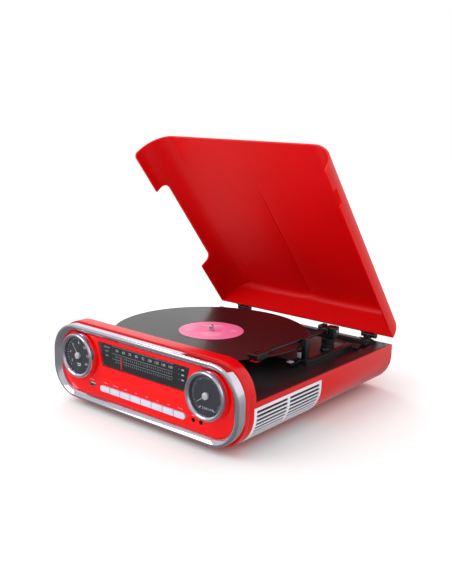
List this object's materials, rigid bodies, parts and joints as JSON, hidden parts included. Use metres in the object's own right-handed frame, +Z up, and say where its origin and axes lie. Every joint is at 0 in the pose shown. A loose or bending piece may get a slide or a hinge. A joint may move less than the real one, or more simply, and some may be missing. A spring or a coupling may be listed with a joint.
{
  "type": "record player",
  "caption": "Tabletop record player with a dashboard front, round dials, push buttons, side grilles, belt-driven platter, pivoted tonearm and a rear-hinged lid standing open.",
  "frame": {"origin": "centre of the footprint of the whole object with its lid open, on the surface that it stands on", "axes": "+X to the right seen from the front, +Y to the back, +Z up"},
  "size_m": [0.3564, 0.4251, 0.3837],
  "materials": {
    "red_shell": "glossy bright red paint",
    "red_face": "high-gloss signal red",
    "chrome_trim": "polished chrome plate",
    "silver_plastic": "satin silver",
    "black_plastic": "satin black",
    "deck_black": "fine-grained satin black",
    "record_vinyl": "grooved gloss black",
    "dial_slate": "printed dark slate",
    "clear_lens": "clear gloss",
    "smoked_window": "smoked clear gloss",
    "bright_steel": "turned bright steel",
    "brass_metal": "turned brass",
    "black_rubber": "matt black rubber",
    "signal_red": "translucent red",
    "circuit_board": "green solder mask",
    "speaker_cone": "matt black pulp"
  },
  "bodies": {
    "base": {"plinth_shell": "red_shell", "front_housing": "red_shell", "face_panel": "red_face", "trim_ring": "chrome_trim", "tuner_window": "smoked_window", "scale_plate": "black_plastic", "usb_socket": "bright_steel", "headphone_jack": "black_plastic", "line_in_jack": "black_plastic", "dial_face_left": "dial_slate", "dial_face_right": "dial_slate", "volume_control": "bright_steel", "tuning_control": "bright_steel", "deck_plate": "deck_black", "main_board": "circuit_board", "speaker_grille_left": "silver_plastic", "speaker_grille_right": "silver_plastic", "speaker_left": "speaker_cone", "speaker_right": "speaker_cone", "spindle_bush": "brass_metal", "motor": "bright_steel", "drive_belt": "black_rubber", "arm_base": "black_plastic", "arm_rest": "black_plastic", "hinge_base_left": "black_plastic", "hinge_base_right": "black_plastic", "foot_front_left": "black_rubber", "foot_front_right": "black_rubber", "foot_rear_left": "black_rubber", "foot_rear_right": "black_rubber", "rear_sockets": "black_plastic"},
    "lid": {"lid_shell": "red_shell", "hinge_leaf_left": "black_plastic", "hinge_leaf_right": "black_plastic"},
    "turntable": {"platter": "black_plastic", "record": "record_vinyl", "spindle": "bright_steel"},
    "motor_pulley": {"motor_pulley": "brass_metal"},
    "arm_gimbal": {"arm_yoke": "black_plastic"},
    "tonearm": {"tonearm": "black_plastic", "cartridge": "black_plastic", "stylus": "signal_red"},
    "cue_lever": {"cue_lever": "black_plastic"},
    "volume_knob": {"volume_bezel": "chrome_trim", "volume_lens": "clear_lens", "volume_needle": "chrome_trim"},
    "tuning_knob": {"tuning_bezel": "chrome_trim", "tuning_lens": "clear_lens", "tuning_needle": "chrome_trim"},
    "tuning_pointer": {"tuning_pointer": "signal_red"},
    "button_1": {"button_1": "silver_plastic"},
    "button_2": {"button_2": "silver_plastic"},
    "button_3": {"button_3": "silver_plastic"},
    "button_4": {"button_4": "silver_plastic"},
    "button_5": {"button_5": "silver_plastic"},
    "button_6": {"button_6": "silver_plastic"},
    "button_7": {"button_7": "silver_plastic"},
    "button_8": {"button_8": "silver_plastic"},
    "speed_switch": {"speed_switch": "black_plastic"},
    "auto_stop_switch": {"auto_stop_switch": "black_plastic"}
  },
  "joints": [
    {"name": "lid_hinge", "type": "hinge", "parent": "base", "child": "lid", "pos_m": [0.0011, 0.1854, 0.0757], "axis": [1, 0, 0], "range_deg": [0, 50.5]},
    {"name": "platter_spin", "type": "hinge", "parent": "base", "child": "turntable", "pos_m": [-0.0274, -0.0253, 0.086], "axis": [0, 0, 1], "continuous": true},
    {"name": "pulley_spin", "type": "hinge", "parent": "base", "child": "motor_pulley", "pos_m": [-0.08538, 0.03268, 0.081], "axis": [0, 0, 1], "continuous": true},
    {"name": "tonearm_swing", "type": "hinge", "parent": "base", "child": "arm_gimbal", "pos_m": [0.1181, 0.0793, 0.103], "axis": [0, 0, -1], "range_deg": [0, 38]},
    {"name": "tonearm_lift", "type": "hinge", "parent": "arm_gimbal", "child": "tonearm", "pos_m": [0.1181, 0.0793, 0.103], "axis": [-1, 0, 0], "range_deg": [0, 3]},
    {"name": "cue_lever_turn", "type": "hinge", "parent": "base", "child": "cue_lever", "pos_m": [0.1256, -0.0122, 0.075], "axis": [-1, 0, 0], "range_deg": [0, 30]},
    {"name": "volume_turn", "type": "hinge", "parent": "base", "child": "volume_knob", "pos_m": [-0.1209, -0.2117, 0.0757], "axis": [0, 1, 0], "range_deg": [-130, 140]},
    {"name": "tuning_turn", "type": "hinge", "parent": "base", "child": "tuning_knob", "pos_m": [0.1231, -0.2117, 0.0757], "axis": [0, 1, 0], "range_deg": [-30, 240]},
    {"name": "pointer_slide", "type": "slide", "parent": "base", "child": "tuning_pointer", "axis": [1, 0, 0], "range_m": [-0.0137, 0.109]},
    {"name": "button_1_press", "type": "slide", "parent": "base", "child": "button_1", "axis": [0, 1, 0], "range_m": [0, 0.0015], "stiffness_N_per_m": 300},
    {"name": "button_2_press", "type": "slide", "parent": "base", "child": "button_2", "axis": [0, 1, 0], "range_m": [0, 0.0015], "stiffness_N_per_m": 300},
    {"name": "button_3_press", "type": "slide", "parent": "base", "child": "button_3", "axis": [0, 1, 0], "range_m": [0, 0.0015], "stiffness_N_per_m": 300},
    {"name": "button_4_press", "type": "slide", "parent": "base", "child": "button_4", "axis": [0, 1, 0], "range_m": [0, 0.0015], "stiffness_N_per_m": 300},
    {"name": "button_5_press", "type": "slide", "parent": "base", "child": "button_5", "axis": [0, 1, 0], "range_m": [0, 0.0015], "stiffness_N_per_m": 300},
    {"name": "button_6_press", "type": "slide", "parent": "base", "child": "button_6", "axis": [0, 1, 0], "range_m": [0, 0.0015], "stiffness_N_per_m": 300},
    {"name": "button_7_press", "type": "slide", "parent": "base", "child": "button_7", "axis": [0, 1, 0], "range_m": [0, 0.0015], "stiffness_N_per_m": 300},
    {"name": "button_8_press", "type": "slide", "parent": "base", "child": "button_8", "axis": [0, 1, 0], "range_m": [0, 0.0015], "stiffness_N_per_m": 300},
    {"name": "speed_switch_slide", "type": "slide", "parent": "base", "child": "speed_switch", "axis": [0, 1, 0], "range_m": [0, 0.01]},
    {"name": "auto_stop_slide", "type": "slide", "parent": "base", "child": "auto_stop_switch", "axis": [0, 1, 0], "range_m": [0, 0.01]}
  ],
  "couplings": [
    {"joint": "pulley_spin", "follows": "platter_spin", "ratio": 15.75},
    {"joint": "tonearm_lift", "follows": "cue_lever_turn", "ratio": 0.1},
    {"joint": "pointer_slide", "follows": "tuning_turn", "m_per_rad": 0.026}
  ]
}
